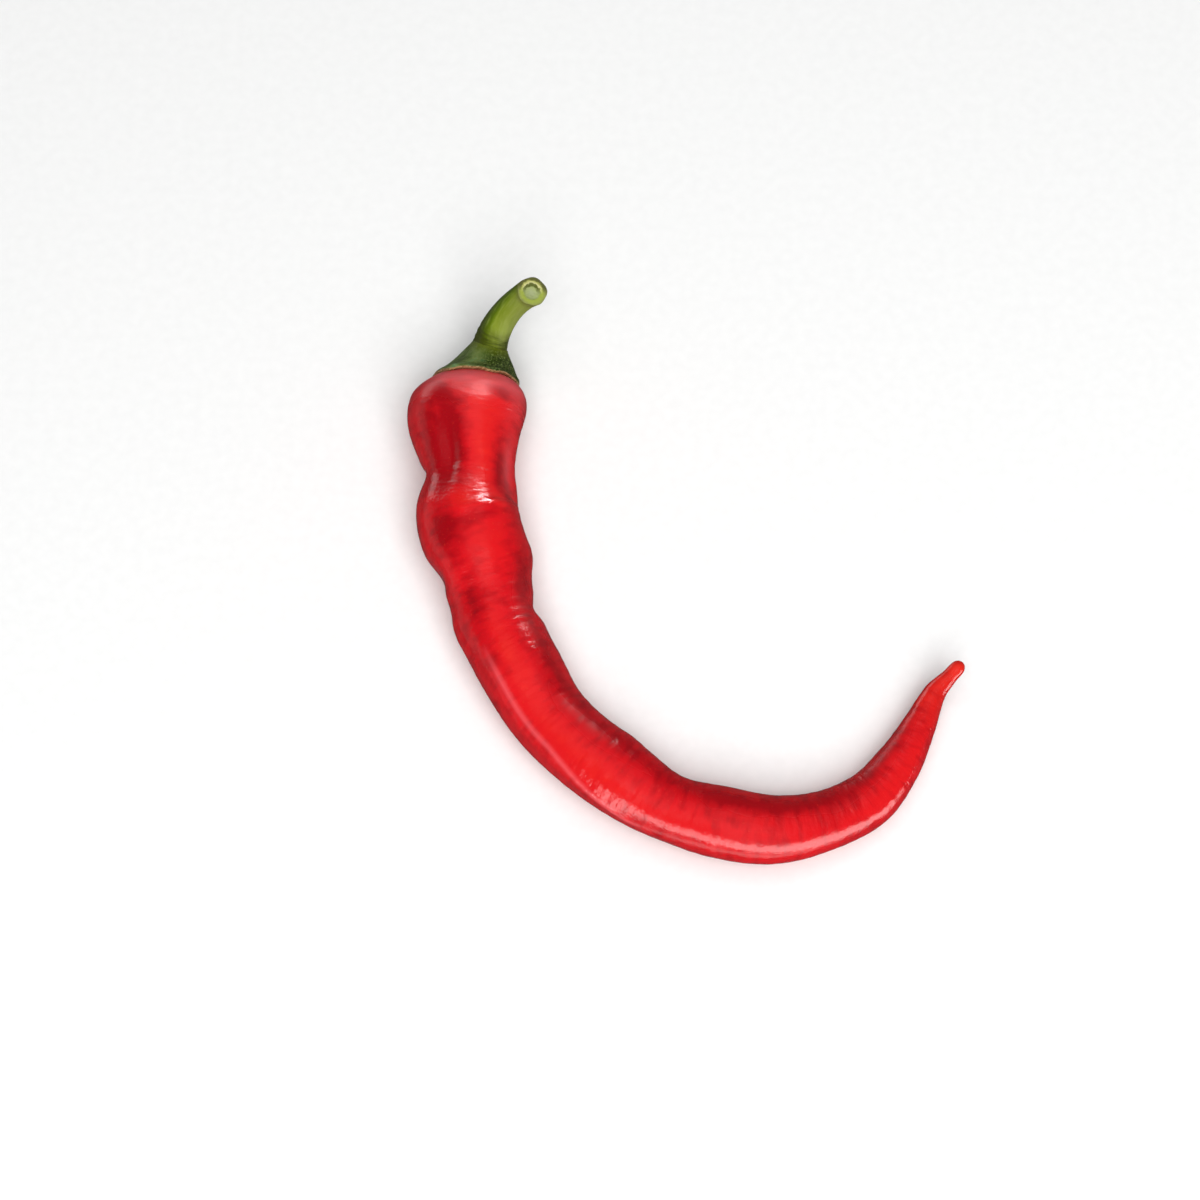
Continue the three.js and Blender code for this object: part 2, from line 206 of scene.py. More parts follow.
def opening(distance, depth, squareness):
    """How far a rounded end has opened: 0 at its pole and 1 past its depth."""
    left = 1 - np.clip(distance / depth, 0, 1)
    return (1 - left ** squareness) ** (1 / squareness)


def bell(distance, reach):
    """1 at no distance, falling smoothly away over the reach."""
    return np.exp(-((distance / reach) ** 2))


def turn_between(a, b):
    """The shorter turn from angle b to angle a, in degrees."""
    return (a - b + 180) % 360 - 180


def grain(points, stretch, seed):
    """Even, smooth noise of about -1 to 1 at points, with its grain stretched along each axis."""
    shift = Vector([seed * step for step in GRAIN_SHIFT])
    scaled = points / np.asarray(stretch, float)
    return np.array([noise.noise(Vector(p) + shift) for p in scaled])


# Hand tools

def edit_new(name):
    """Starts a new, empty mesh object at the origin, ready to be edited."""
    bpy.ops.object.select_all(action="DESELECT")
    made = bpy.data.objects.new(name, bpy.data.meshes.new(name))
    bpy.context.scene.collection.objects.link(made)
    bpy.context.view_layer.objects.active = made
    made.select_set(True)
    bpy.ops.object.mode_set(mode="EDIT")
    return made


def lay_ring(middle, along, inward, up, radius, sides):
    """Adds a round ring that stands square to the line."""
    turn = Matrix((inward, up, along)).transposed()
    bpy.ops.mesh.primitive_circle_add(
        vertices=sides, radius=radius * MM, fill_type="NOTHING",
        location=Vector(middle) * MM, rotation=turn.to_euler())


def ring_angles(sides):
    """The angle of each point of a ring that lay_ring adds, from inward towards up."""
    return math.pi / 2 + np.arange(sides) * 2 * math.pi / sides


def select_vertices(made, numbers):
    """Selects the vertices of the given numbers and no others, in edit mode."""
    bpy.ops.mesh.select_all(action="DESELECT")
    bpy.ops.object.mode_set(mode="OBJECT")
    for i in numbers:
        made.data.vertices[i].select = True
    bpy.ops.object.mode_set(mode="EDIT")


def close_end(made, numbers):
    """Fills the ring made of the given vertices, with one vertex at its middle."""
    select_vertices(made, numbers)
    bpy.ops.mesh.select_mode(type="VERT")
    bpy.ops.mesh.edge_face_add()
    bpy.ops.mesh.poke()


def select_faces(made, wanted):
    """Selects the faces for which wanted(face) is true, in edit mode."""
    bpy.ops.mesh.select_mode(type="FACE")
    bpy.ops.mesh.select_all(action="DESELECT")
    bpy.ops.object.mode_set(mode="OBJECT")
    for face in made.data.polygons:
        face.select = wanted(face)
    bpy.ops.object.mode_set(mode="EDIT")


def read_places(mesh):
    """The place of each vertex."""
    places = np.zeros(len(mesh.vertices) * 3)
    mesh.vertices.foreach_get("co", places)
    return places.reshape(-1, 3)


def write_places(mesh, places):
    """Puts each vertex at its place."""
    mesh.vertices.foreach_set("co", np.asarray(places, float).ravel())
    mesh.update()


def keep_note(mesh, name, values):
    """Notes a vector for each vertex, which later steps and the materials read."""
    note = mesh.attributes.get(name) or mesh.attributes.new(name, "FLOAT_VECTOR", "POINT")
    note.data.foreach_set("vector", np.asarray(values, np.float32).ravel())


def read_note(mesh, name):
    """The vectors that keep_note noted, after any modifier."""
    values = np.zeros(len(mesh.vertices) * 3, np.float32)
    mesh.attributes[name].data.foreach_get("vector", values)
    return values.reshape(-1, 3).astype(float)


def finish_with(made, kind, **settings):
    """Adds a modifier and applies it."""
    bpy.ops.object.select_all(action="DESELECT")
    made.select_set(True)
    bpy.context.view_layer.objects.active = made
    modifier = made.modifiers.new("finish", kind)
    for name, value in settings.items():
        setattr(modifier, name, value)
    bpy.ops.object.modifier_apply(modifier=modifier.name)


# Tubes of rings, for the pod and the stem

def bridge_rings(made, start, sides):
    """Bridges the ring that starts at a vertex to the ring after it."""
    select_vertices(made, range(start, start + 2 * sides))
    bpy.ops.mesh.bridge_edge_loops()


def close_rings(made, count, sides):
    """Closes both ends of a run of rings, faces it outwards and leaves edit mode."""
    close_end(made, range(sides))
    close_end(made, range((count - 1) * sides, count * sides))
    bpy.ops.mesh.select_all(action="SELECT")
    bpy.ops.mesh.normals_make_consistent(inside=False)
    bpy.ops.object.mode_set(mode="OBJECT")


def make_tube(name, places, across, radii, sides, levels):
    """A closed, rounded tube of rings along a line, with each vertex's place along it, its angle
    and how far out it is: 0 at the middle of an end and 1 on a ring."""
    made = edit_new(name)
    middle, along, inward, up, _ = across
    for k in range(len(places)):
        lay_ring(middle[k], along[k], inward[k], up[k], radii[k], sides)
    bpy.ops.mesh.select_all(action="SELECT")
    bpy.ops.mesh.bridge_edge_loops()
    close_rings(made, len(places), sides)
    angles = ring_angles(sides)
    note = np.zeros((len(made.data.vertices), 3))
    rings = len(places) * sides
    note[:rings, 0] = np.tile(np.cos(angles), len(places))
    note[:rings, 1] = np.tile(np.sin(angles), len(places))
    note[:rings, 2] = np.repeat(places, sides)
    note[rings:, 2] = [places[0], places[-1]]
    keep_note(made.data, "angle_and_place", note)
    finish_with(made, "SUBSURF", levels=levels, render_levels=levels)
    cosine, sine, place = read_note(made.data, "angle_and_place").T
    return made, place, np.arctan2(sine, cosine), np.hypot(cosine, sine)


def around(across, angles, radius):
    """Points round the middles of sections."""
    middle, _, inward, up, _ = across
    aside, above = radius * np.cos(angles), radius * np.sin(angles)
    return middle + inward * aside[:, None] + up * above[:, None]


# Pod

POD_MIDDLES = [(x, y, under + r) for x, y, under, r in POD_LINE]
POD_GIRTHS = [line[3] for line in POD_LINE]
POD_LENGTHS = measured(POD_MIDDLES)
POD_LENGTH = POD_LENGTHS[1][-1]
POD_SIDES, POD_STEP = 32, 1.6
CROWN_RINGS, TIP_RINGS = 12, 6


def pod_sections(places):
    """Sections of the pod. Those of the crown face squarely out of it."""
    turned = np.clip(places / CROWN_DEPTH, 0, 1)
    turned = (turned * turned * (3 - 2 * turned))[:, None]
    return sections(POD_MIDDLES, POD_LENGTHS, places,
                    lambda along: -np.array(CROWN_FACING) * (1 - turned) + along * turned)


def pod_opening(places):
    """How far the pod has opened, from 0 at its two poles to 1."""
    crown = opening(places, CROWN_DEPTH, CROWN_SQUARENESS)
    return crown * opening(POD_LENGTH - places, TIP_DEPTH, TIP_SQUARENESS)


def skin_height(places, degrees):
    """How far the pod's skin stands out from its round section, in millimetres."""
    share = np.clip((places - RIB_FROM) / (RIB_TO - RIB_FROM), 0, 1)
    rib_angle = RIB_START_ANGLE + (RIB_END_ANGLE - RIB_START_ANGLE) * share
    across_rib = bell(turn_between(degrees, rib_angle), RIB_ROUND)
    rib = RIB_HEIGHT * np.sin(math.pi * share) * across_rib
    return rib + spread(SKIN_FORMS, places, degrees)


def crest(places, degrees, girth):
    """1 on the thin crest of the rib, and 0 away from it."""
    crest_angle = np.interp(places, CREST_PLACES, CREST_ANGLES)
    off = np.radians(turn_between(degrees, crest_angle)) * girth
    from_end = np.minimum(places - CREST_PLACES[0], CREST_PLACES[-1] - places)
    return np.clip(from_end / CREST_FADE, 0, 1) * bell(off, CREST_WIDTH)


def fine_skin(straight):
    """The height of the skin's ripples: across the pod, along it, and dimples."""
    return sum(height * grain(straight, stretch, seed) for height, stretch, seed in RIPPLES)


def spread(spots, places, degrees):
    """The sum of soft spots on the pod, each with a strength and a reach."""
    total = np.zeros(len(places))
    for at, angle, strength, along, around_by in spots:
        total += strength * bell(places - at, along) * bell(turn_between(degrees, angle), around_by)
    return total


def pod_ring_places():
    """Where the pod's rings stand: close together at its two ends and evenly between them."""
    crown_turns = np.arange(1, CROWN_RINGS + 1) / CROWN_RINGS * math.pi / 2
    tip_turns = np.arange(TIP_RINGS, 0, -1) / TIP_RINGS * math.pi / 2
    crown = CROWN_DEPTH * (1 - np.cos(crown_turns))
    body_length = POD_LENGTH - CROWN_DEPTH - TIP_DEPTH
    body_rings = round(body_length / POD_STEP)
    body = CROWN_DEPTH + np.arange(1, body_rings) / body_rings * body_length
    tip = POD_LENGTH - TIP_DEPTH * (1 - np.cos(tip_turns))
    return np.concatenate([[0.0], crown, body, tip, [POD_LENGTH]])


def make_pod():
    """The pod: rings along its line, bridged and rounded, then shaped into its bulges and dents."""
    places = pod_ring_places()
    across = pod_sections(places)
    girth = run_through(POD_GIRTHS, across[4], run_on=False)[:, 0] * pod_opening(places)
    pod, places, angles, _ = make_tube(
        "pod_skin", places, across, np.maximum(girth, POLE_RADIUS), POD_SIDES, levels=2)
    across = pod_sections(places)
    girth = run_through(POD_GIRTHS, across[4], run_on=False)[:, 0]
    lobe = 1 + LOBE_DEPTH * np.cos(LOBES * (angles - math.radians(LOBE_TURN)))
    straight = np.stack([girth * np.cos(angles), girth * np.sin(angles), places], axis=1)
    degrees = np.degrees(angles)
    on_crest = crest(places, degrees, girth)
    height = skin_height(places, degrees) + fine_skin(straight) + CREST_HEIGHT * on_crest
    height += spread(SMALL_FORMS, places, degrees)
    skin = around(across, angles, pod_opening(places) * (girth * lobe + height - SKIN_INSET))
    skin[:, 2] = np.maximum(skin[:, 2], REST_CLEARANCE)
    write_places(pod.data, skin * MM)
    keep_note(pod.data, "straightened", straight * MM)
    # Painted shade and light, noted for the skin's colour.
    tones_and_painted_light = spread(SKIN_TONES_AND_PAINTED_LIGHT, places, degrees)
    dullness = spread(DULL_PLACES, places, degrees)
    # A painted pale sheen: on the crest of the rib and in the listed places.
    pale = on_crest + spread(PAINTED_SHEEN_PLACES, places, degrees)
    keep_note(pod.data, "painted_light_dullness_sheen", np.stack([tones_and_painted_light, dullness, pale], axis=1))
    bpy.ops.object.shade_smooth()
    return pod


# Calyx

GREEN_LENGTHS = measured(GREEN_LINE)
GREEN_LENGTH = GREEN_LENGTHS[1][-1]
CALYX_SIDES = 72


def tooth(angles):
    """1 at the point of each tooth of the calyx and 0 between two."""
    return ((1 + np.cos(CALYX_TEETH * angles)) / 2) ** 2


def calyx_rings():
    """All the calyx's rings, from the middle of its underside to the middle of its collar."""
    rings = list(RIM_RINGS)
    top = CALYX_HEIGHT + COLLAR_OVERLAP
    for share in np.linspace(0, 1, CAP_RINGS + 1)[1:]:
        rise = CAP_FROM + (top - CAP_FROM) * share
        flare = max(0.0, 1 - (rise - CAP_FROM) / (CALYX_HEIGHT - CAP_FROM)) ** CALYX_FLARE
        radius = CALYX_COLLAR_RADIUS + (CALYX_RIM_RADIUS - CAP_INSET - CALYX_COLLAR_RADIUS) * flare
        teeth, veins, lies = (1 - share) ** 3, 1 - 0.5 * share, 0.7 * (1 - share) ** 4
        rings.append((rise, radius, teeth, veins, lies, CAP_LIFT))
    rings += [(top + rise, radius, 0, 0, 0, 0) for rise, radius in COLLAR_CLOSING]
    return np.array(rings)


def lay_on_pod(pod, placed, lies, lift):
    """Moves points to the pod's skin, each by its share lies and to its distance lift off it."""
    skin = BVHTree.FromObject(pod, bpy.context.evaluated_depsgraph_get())
    for i in np.nonzero(lies > 0)[0]:
        spot, normal, _, _ = skin.find_nearest(Vector(placed[i]) * MM)
        rested = np.array(spot) / MM + np.array(normal) * lift[i]
        placed[i] += (rested - placed[i]) * lies[i]


def make_calyx(pod):
    """The calyx: a cap of rings with teeth and veins, its rim laid on the pod's shoulder."""
    rings = calyx_rings()
    count = len(rings)
    rise, radius = rings[:, 0], rings[:, 1]
    collar = sections(GREEN_LINE, GREEN_LENGTHS, np.array([CALYX_HEIGHT]))[1]
    share = np.clip(rise / CALYX_HEIGHT, 0, 1)[:, None]
    facing = np.array(CROWN_FACING) * (1 - share) + collar * share
    across = sections(GREEN_LINE, GREEN_LENGTHS, rise, lambda straight: facing)
    middle, along, inward, up, _ = across
    calyx = edit_new("calyx_cap")
    for k in range(count):
        lay_ring(middle[k], along[k], inward[k], up[k], radius[k], CALYX_SIDES)
    for k in range(count - 1):
        bridge_rings(calyx, k * CALYX_SIDES, CALYX_SIDES)
    close_rings(calyx, count, CALYX_SIDES)

    angles = np.tile(ring_angles(CALYX_SIDES), count)
    each = [np.repeat(part, CALYX_SIDES, axis=0) for part in across]
    rise, radius, teeth, veins, lies, lift = np.repeat(rings, CALYX_SIDES, axis=0).T
    turn = np.stack([np.cos(angles), np.sin(angles), np.zeros(len(angles))], axis=1)
    ragged = grain(turn * RIM_GRAIN_RADIUS, RAGGED_GRAIN, RAGGED_SEED)
    curl = grain(turn * RIM_GRAIN_RADIUS, CURL_GRAIN, CURL_SEED)
    point = tooth(angles)
    edging = teeth * (TOOTH_LENGTH * point + RAGGED_HEIGHT * ragged)
    placed = around(each, angles, radius + edging + veins * VEIN_HEIGHT * point)
    lay_on_pod(pod, placed, lies, lift + CURL_HEIGHT * teeth * np.maximum(curl, CURL_LEAST))
    hubs = read_places(calyx.data)[count * CALYX_SIDES:]
    write_places(calyx.data, np.vstack([placed * MM, hubs]))

    wholly_on_pod = rings[:, 4] > 0.99
    edge = bell(rings[:, 5] - EDGE_LIFT, EDGE_REACH) * wholly_on_pod
    no_note = np.zeros(hubs.shape)
    straight = np.stack([radius * np.cos(angles), radius * np.sin(angles), rise], axis=1)
    keep_note(calyx.data, "straightened", np.vstack([straight * MM, no_note]))
    marks = np.stack([np.repeat(edge, CALYX_SIDES), point, rise / CALYX_HEIGHT], axis=1)
    keep_note(calyx.data, "edge_and_tooth", np.vstack([marks, no_note]))
    finish_with(calyx, "SUBSURF", levels=2, render_levels=2)
    bpy.ops.object.shade_smooth()
    return calyx


# Stem

STEM_SIDES, STEM_STEP = 60, 0.5
STEM_START = CALYX_HEIGHT - STEM_OVERLAP


def stem_radius(places, angles):
    """The stem's ridged radius, with a few wrinkles round its foot, and the same places as on a
    straight, round stem."""
    share = np.clip((places - CALYX_HEIGHT) / (GREEN_LENGTH - CALYX_HEIGHT), 0, 1)
    radius = run_through(STEM_RADII, share, run_on=False)[:, 0]
    ridges = 1 + STEM_RIDGE_DEPTH * np.cos(STEM_RIDGES * angles)
    straight = np.stack([radius * np.cos(angles), radius * np.sin(angles), places], axis=1)
    fibres = grain(straight, FIBRE_GRAIN, FIBRE_SEED)
    wrinkles = sum(bell(places - at, WRINKLE_REACH) for at in WRINKLE_PLACES)
    side = 0.5 - 0.5 * np.cos(angles + WRINKLE_TURN)
    return radius * ridges + FIBRE_HEIGHT * fibres - WRINKLE_DEPTH * wrinkles * side, straight


def make_stem():
    """The stem: a ridged tube of rings, cut off aslant, with its pith sunk into the cut."""
    steps = round((GREEN_LENGTH - STEM_START) / STEM_STEP)
    places = np.linspace(STEM_START, GREEN_LENGTH, steps + 1)
    across = sections(GREEN_LINE, GREEN_LENGTHS, places)
    radii, _ = stem_radius(places, np.zeros(len(places)))
    stem, places, angles, out = make_tube(
        "stem_stalk", places, across, radii, STEM_SIDES, levels=1)
    across = sections(GREEN_LINE, GREEN_LENGTHS, places)
    radius, straight = stem_radius(places, angles)
    write_places(stem.data, around(across, angles, (radius - SKIN_INSET) * out) * MM)
    keep_note(stem.data, "straightened", straight * MM)

    cut_place = np.array([GREEN_LENGTH - CUT_FROM_END])
    cut_middle = Vector(sections(GREEN_LINE, GREEN_LENGTHS, cut_place)[0][0]) * MM

    def on_cut(face, squareness, reach):
        """Whether a face is this square to the cut and this near its plane."""
        above = (face.center - cut_middle).dot(CUT_NORMAL)
        return face.normal.dot(CUT_NORMAL) > squareness and abs(above) < reach * MM

    bpy.ops.object.mode_set(mode="EDIT")
    bpy.ops.mesh.select_all(action="SELECT")
    bpy.ops.mesh.bisect(
        plane_co=cut_middle, plane_no=CUT_NORMAL, use_fill=True, clear_outer=True, threshold=1e-7)
    select_faces(stem, lambda face: on_cut(face, *FLAT_CUT))
    bpy.ops.mesh.remove_doubles(threshold=CUT_MERGE * MM)
    for size, rise in CUT_RINGS:
        bpy.ops.mesh.extrude_region_move()
        bpy.ops.transform.resize(value=(size, size, size), center_override=cut_middle)
        bpy.ops.transform.translate(value=CUT_NORMAL * rise * MM)
    bpy.ops.mesh.poke()
    select_faces(stem, lambda face: on_cut(face, *SUNKEN_CUT))
    stem.data.materials.append(fibrous_stalk())
    stem.data.materials.append(cut_stalk(cut_middle))
    stem.active_material_index = 1
    bpy.ops.object.material_slot_assign()
    bpy.ops.object.mode_set(mode="OBJECT")
    bpy.ops.object.shade_smooth_by_angle(angle=math.radians(50))
    return stem


# Materials

def colour(code):
    """A #rrggbb code as the linear colour that a node takes."""
    parts = [int(code[i:i + 2], 16) / 255 for i in (1, 3, 5)]
    return [p / 12.92 if p <= 0.04045 else ((p + 0.055) / 1.055) ** 2.4 for p in parts] + [1.0]


def add_node(tree, kind, inputs=None, stops=None, **settings):
    """Adds a node. Settings are its own values, inputs are values for its sockets or sockets to
    link to them, and stops are a colour ramp's places and colours."""
    node = tree.nodes.new(kind)
    for name, value in settings.items():
        setattr(node, name, value)
    for name, value in (inputs or {}).items():
        if isinstance(value, bpy.types.NodeSocket):
            tree.links.new(value, node.inputs[name])
        else:
            node.inputs[name].default_value = value
    if stops:
        ramp = node.color_ramp.elements
        while len(ramp) < len(stops):
            ramp.new(1.0)
        for element, (place, shade) in zip(ramp, stops):
            element.position, element.color = place, shade
    return node


def start_material(name):
    """A new material with nothing in its tree but its output."""
    material = bpy.data.materials.new(name)
    material.use_nodes = True
    tree = material.node_tree
    tree.nodes.clear()
    return material, tree, add_node(tree, "ShaderNodeOutputMaterial")


def waxy_chilli_skin():
    """Ripe chilli skin: thin, taut and waxed by nature. It gives crisp, slightly broken highlights
    over a finely mottled red, with painted shade darkening it in its valleys and painted light
    warming it on its crests."""
    material, tree, out = start_material("waxy_chilli_skin")
    note = add_node(tree, "ShaderNodeAttribute", attribute_name="straightened").outputs["Vector"]
    marks = add_node(
        tree, "ShaderNodeAttribute", attribute_name="painted_light_dullness_sheen").outputs["Vector"]
    mark = add_node(tree, "ShaderNodeSeparateXYZ", {"Vector": marks})
    parts = add_node(tree, "ShaderNodeSeparateXYZ", {"Vector": note})
    along = add_node(tree, "ShaderNodeMapRange", {
        "Value": parts.outputs["Z"], "From Max": POD_LENGTH * MM})
    ripeness = add_node(tree, "ShaderNodeValToRGB", {"Fac": along.outputs["Result"]}, stops=[
        (0.00, colour("#da1820")), (0.12, colour("#d9121b")), (0.30, colour("#da0f1a")),
        (0.60, colour("#d80f19")), (0.90, colour("#da151b")), (1.00, colour("#dc2a1d"))])
    # Cloudy depth of colour, about 6 mm across and longer along the pod.
    stretched = add_node(tree, "ShaderNodeMapping", {"Vector": note, "Scale": (1.0, 1.0, 0.45)})
    clouds = add_node(tree, "ShaderNodeTexNoise", {
        "Vector": stretched.outputs["Vector"], "Scale": 160.0, "Detail": 4.0, "Roughness": 0.55})
    cloud = add_node(tree, "ShaderNodeMapRange", {
        "Value": clouds.outputs["Fac"], "From Min": 0.42, "From Max": 0.75, "To Max": 0.5})
    # Mottles about 1.5 mm across, wider round the pod than along it.
    crosswise = add_node(tree, "ShaderNodeMapping", {"Vector": note, "Scale": (0.45, 0.45, 1.0)})
    mottles = add_node(tree, "ShaderNodeTexNoise", {
        "Vector": crosswise.outputs["Vector"], "Scale": 650.0, "Detail": 1.5, "Roughness": 0.5})
    mottle = add_node(tree, "ShaderNodeMapRange", {
        "Value": mottles.outputs["Fac"], "From Min": 0.45, "From Max": 0.8, "To Max": 0.6})
    clouded = add_node(tree, "ShaderNodeMath", {
        0: cloud.outputs["Result"], 1: mottle.outputs["Result"]}, operation="ADD")
    # Painted shade, partly the skin's own darker red: the red darkens in the clouds and mottles,
    # and most where the noted tone is below 0.
    depth = add_node(tree, "ShaderNodeMath", {
        0: clouded.outputs["Value"], 1: mark.outputs["X"]}, operation="SUBTRACT", use_clamp=True)
    deepened_and_shaded = add_node(tree, "ShaderNodeMix", {
        0: depth.outputs["Value"], 6: ripeness.outputs["Color"],
        7: colour("#a0020f")}, data_type="RGBA")
    # Painted light: where the noted tone is above 0, on the crests and slopes that face the front,
    # the red turns brighter and more orange, least so in the mottles.
    glow = add_node(tree, "ShaderNodeMapRange", {
        "Value": mottles.outputs["Fac"], "From Min": 0.3, "From Max": 0.55,
        "To Min": 0.9, "To Max": 0.45})
    warmth_and_light = add_node(tree, "ShaderNodeMath", {
        0: mark.outputs["X"], 1: glow.outputs["Result"]}, operation="MULTIPLY", use_clamp=True)
    warmer_and_lit = add_node(tree, "ShaderNodeMix", {
        0: warmth_and_light.outputs["Value"], 6: deepened_and_shaded.outputs[2], 7: colour("#e8271f")}, data_type="RGBA")
    # A painted pink sheen, over the crest of the rib, round the calyx and in the waist.
    sheen_share = add_node(tree, "ShaderNodeMapRange", {"Value": mark.outputs["Z"], "To Max": 0.55})
    paler = add_node(tree, "ShaderNodeMix", {
        0: sheen_share.outputs["Result"], 6: warmer_and_lit.outputs[2], 7: colour("#f0646a")}, data_type="RGBA")
    # Pale specks of wax, about 0.4 mm across.
    specks = add_node(tree, "ShaderNodeTexNoise", {"Vector": note, "Scale": 2200.0, "Detail": 2.0})
    speck = add_node(tree, "ShaderNodeMapRange", {
        "Value": specks.outputs["Fac"], "From Min": 0.64, "From Max": 0.76, "To Max": 0.3})
    skin = add_node(tree, "ShaderNodeMix", {
        0: speck.outputs["Result"], 6: paler.outputs[2], 7: colour("#e0402c")}, data_type="RGBA")
    # Fine wrinkles across the pod, 1.2 mm apart, and a peel-like grain of 0.5 mm.
    across_pod = add_node(tree, "ShaderNodeMapping", {"Vector": note, "Scale": (0.3, 0.3, 1.0)})
    wrinkles = add_node(tree, "ShaderNodeTexNoise", {
        "Vector": across_pod.outputs["Vector"], "Scale": 850.0, "Detail": 3.0})
    peel = add_node(tree, "ShaderNodeTexNoise", {"Vector": note, "Scale": 1900.0, "Detail": 2.0})
    wrinkled = add_node(tree, "ShaderNodeBump", {
        "Height": wrinkles.outputs["Fac"], "Strength": 1.0, "Distance": 0.19 * MM})
    rough = add_node(tree, "ShaderNodeBump", {
        "Height": peel.outputs["Fac"], "Strength": 1.0, "Distance": 0.04 * MM,
        "Normal": wrinkled.outputs["Normal"]})
    # The wax is uneven by the clouds' pattern, and duller in the noted places.
    gloss = add_node(tree, "ShaderNodeMapRange", {
        "Value": clouds.outputs["Fac"], "From Min": 0.3, "From Max": 0.7,
        "To Min": 0.15, "To Max": 0.24})
    dulled = add_node(tree, "ShaderNodeMath", {
        0: mark.outputs["Y"], 1: 0.36, 2: gloss.outputs["Result"]}, operation="MULTIPLY_ADD")
    shader = add_node(tree, "ShaderNodeBsdfPrincipled", {
        "Base Color": skin.outputs[2], "Roughness": dulled.outputs["Value"], "IOR": 1.46,
        "Normal": rough.outputs["Normal"], "Subsurface Weight": 0.12,
        "Subsurface Radius": (1.0, 0.15, 0.08), "Subsurface Scale": 1.2 * MM})
    tree.links.new(shader.outputs["BSDF"], out.inputs["Surface"])
    return material


def leathery_calyx():
    """The calyx: tough green leaf tissue, dull and finely grained, blue-green where it is youngest,
    dark and speckled with painted shade on the side towards the bend's inner side, and dried to tan
    at its thin edge."""
    material, tree, out = start_material("leathery_calyx")
    note = add_node(tree, "ShaderNodeAttribute", attribute_name="straightened").outputs["Vector"]
    place = add_node(tree, "ShaderNodeSeparateXYZ", {"Vector": note})
    marks = add_node(
        tree, "ShaderNodeAttribute", attribute_name="edge_and_tooth").outputs["Vector"]
    mark = add_node(tree, "ShaderNodeSeparateXYZ", {"Vector": marks})
    # Patches of leaf green and blue-green, about 2.5 mm across.
    patches = add_node(tree, "ShaderNodeTexNoise", {"Vector": note, "Scale": 380.0, "Detail": 4.0})
    green = add_node(tree, "ShaderNodeValToRGB", {"Fac": patches.outputs["Fac"]}, stops=[
        (0.30, colour("#3c5018")), (0.43, colour("#54682e")), (0.53, colour("#6c7c40")),
        (0.61, colour("#5c8450")), (0.72, colour("#8a9c70"))])
    # Painted shade: the side towards the inner side of the bend is darker, with pale speckles
    # 0.4 mm across.
    inner = add_node(tree, "ShaderNodeMath", {
        0: patches.outputs["Fac"], 1: -4.0 * MM, 2: place.outputs["X"]}, operation="MULTIPLY_ADD")
    shade = add_node(tree, "ShaderNodeMapRange", {
        "Value": inner.outputs["Value"], "From Min": -1.2 * MM, "From Max": -3.6 * MM,
        "To Max": 0.95})
    speckles = add_node(tree, "ShaderNodeTexNoise", {
        "Vector": note, "Scale": 2400.0, "Detail": 2.0})
    dark = add_node(tree, "ShaderNodeValToRGB", {"Fac": speckles.outputs["Fac"]}, stops=[
        (0.42, colour("#1f2c02")), (0.57, colour("#334506")), (0.68, colour("#7f8f52"))])
    shaded = add_node(tree, "ShaderNodeMix", {
        0: shade.outputs["Result"], 6: green.outputs["Color"],
        7: dark.outputs["Color"]}, data_type="RGBA")
    # Fibres that run down from the stem, 0.4 mm apart.
    down = add_node(tree, "ShaderNodeMapping", {"Vector": note, "Scale": (1.0, 1.0, 0.15)})
    fibres = add_node(tree, "ShaderNodeTexNoise", {
        "Vector": down.outputs["Vector"], "Scale": 2400.0, "Detail": 3.0})
    streak = add_node(tree, "ShaderNodeMapRange", {
        "Value": fibres.outputs["Fac"], "From Min": 0.48, "From Max": 0.72, "To Max": 0.4})
    streaked = add_node(tree, "ShaderNodeMix", {
        0: streak.outputs["Result"], 6: shaded.outputs[2], 7: colour("#88935a")}, data_type="RGBA")
    # It turns to the stem's olive at the collar.
    collar = add_node(tree, "ShaderNodeMapRange", {
        "Value": mark.outputs["Z"], "From Min": 0.72, "From Max": 1.0, "To Max": 0.85})
    joined = add_node(tree, "ShaderNodeMix", {
        0: collar.outputs["Result"], 6: streaked.outputs[2],
        7: colour("#566012")}, data_type="RGBA")
    # The rim's dried skin, 0.5 mm wide, and browner in places.
    edge = add_node(tree, "ShaderNodeMapRange", {
        "Value": mark.outputs["X"], "From Min": 0.15, "From Max": 0.55, "To Max": 0.95})
    ragged = add_node(tree, "ShaderNodeValToRGB", {"Fac": speckles.outputs["Fac"]}, stops=[
        (0.35, colour("#6f4f2c")), (0.52, colour("#9c7450")), (0.66, colour("#b4946c"))])
    edged = add_node(tree, "ShaderNodeMix", {
        0: edge.outputs["Result"], 6: joined.outputs[2],
        7: ragged.outputs["Color"]}, data_type="RGBA")
    height = add_node(tree, "ShaderNodeBump", {
        "Height": fibres.outputs["Fac"], "Strength": 1.0, "Distance": 0.14 * MM})
    shader = add_node(tree, "ShaderNodeBsdfPrincipled", {
        "Base Color": edged.outputs[2], "Roughness": 0.5, "Specular IOR Level": 0.14,
        "Normal": height.outputs["Normal"]})
    tree.links.new(shader.outputs["BSDF"], out.inputs["Surface"])
    return material


